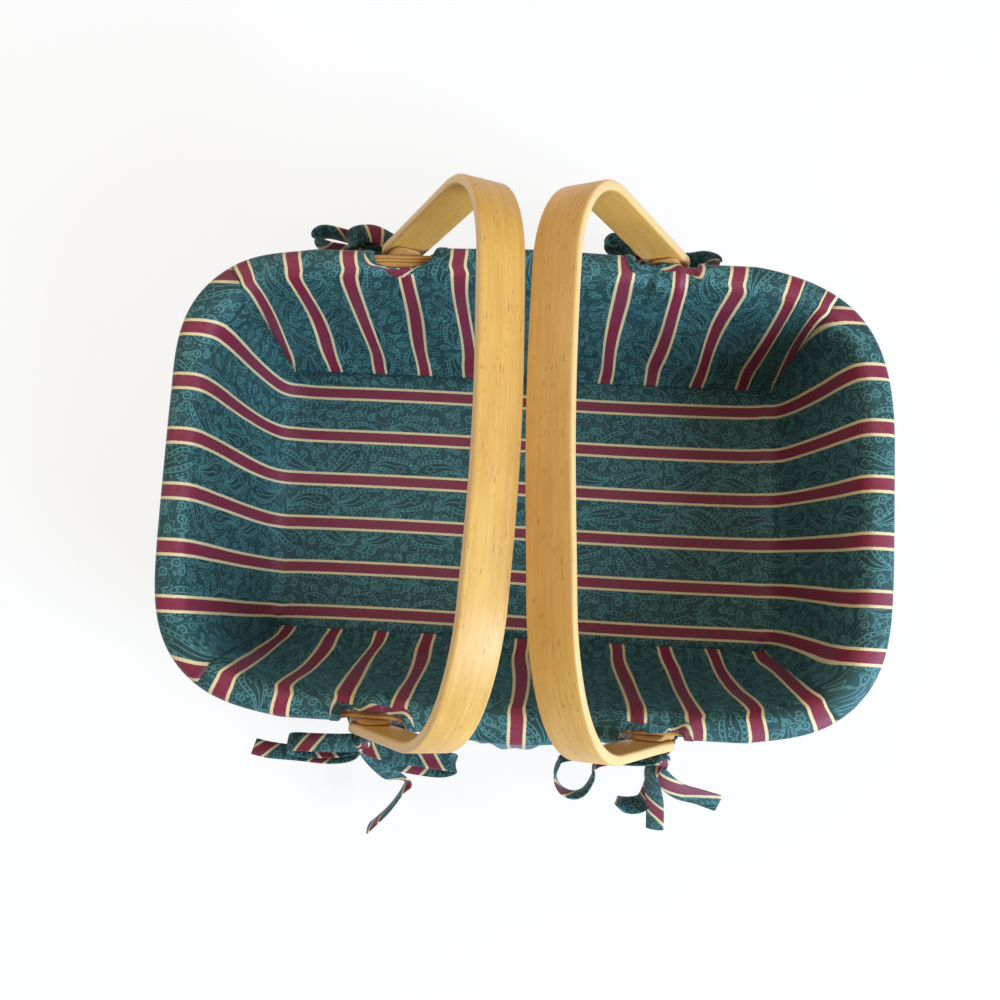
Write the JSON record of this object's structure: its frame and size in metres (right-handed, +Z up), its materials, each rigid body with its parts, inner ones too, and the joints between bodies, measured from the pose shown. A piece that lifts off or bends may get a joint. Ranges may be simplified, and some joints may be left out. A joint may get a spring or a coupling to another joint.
{
  "type": "gathering basket",
  "caption": "Flared rectangular basket of woven wood splints with twin bentwood swing handles and a striped paisley cloth liner tied on with bows.",
  "frame": {"origin": "on the floor under the middle of the basket's woven base", "axes": "+X along the basket, to the right in the picture, +Y across it to the back, +Z up"},
  "size_m": [0.469, 0.4307, 0.2708],
  "materials": {
    "splint": "stained and sealed thin splint",
    "rim": "stained and sealed strip",
    "handle": "satin lacquered bentwood",
    "ear": "stained and sealed block",
    "rivet": "dull brass",
    "liner": "polished cotton, woven stripe and paisley print",
    "tie": "polished cotton tape of the liner cloth"
  },
  "bodies": {
    "basket": {"cross_splint_1": "splint", "cross_splint_10": "splint", "cross_splint_11": "splint", "cross_splint_12": "splint", "cross_splint_13": "splint", "cross_splint_2": "splint", "cross_splint_3": "splint", "cross_splint_4": "splint", "cross_splint_5": "splint", "cross_splint_6": "splint", "cross_splint_7": "splint", "cross_splint_8": "splint", "cross_splint_9": "splint", "handle_ear_back_left": "ear", "handle_ear_back_right": "ear", "handle_ear_front_left": "ear", "handle_ear_front_right": "ear", "handle_rivet_back_left": "rivet", "handle_rivet_back_right": "rivet", "handle_rivet_front_left": "rivet", "handle_rivet_front_right": "rivet", "inner_rim_band": "rim", "liner_back_panel": "liner", "liner_front_panel": "liner", "liner_long_panel": "liner", "long_splint_1": "splint", "long_splint_2": "splint", "long_splint_3": "splint", "long_splint_4": "splint", "long_splint_5": "splint", "long_splint_6": "splint", "long_splint_7": "splint", "outer_rim_band": "rim", "rim_filler_strip": "rim", "tie_bow_back_left": "tie", "tie_bow_back_right": "tie", "tie_bow_front_left": "tie", "tie_bow_front_right": "tie", "weaver_1": "splint", "weaver_2": "splint", "weaver_3": "splint", "weaver_4": "splint", "weaver_5": "splint"},
    "left_handle": {"left_handle": "handle"},
    "right_handle": {"right_handle": "handle"}
  },
  "joints": [
    {"name": "left_handle_swing", "type": "hinge", "parent": "basket", "child": "left_handle", "pos_m": [-0.08997, 0, 0.1075], "axis": [0, -1, 0], "range_deg": [0, 135]},
    {"name": "right_handle_swing", "type": "hinge", "parent": "basket", "child": "right_handle", "pos_m": [0.08997, 0, 0.1075], "axis": [0, 1, 0], "range_deg": [0, 135]}
  ]
}
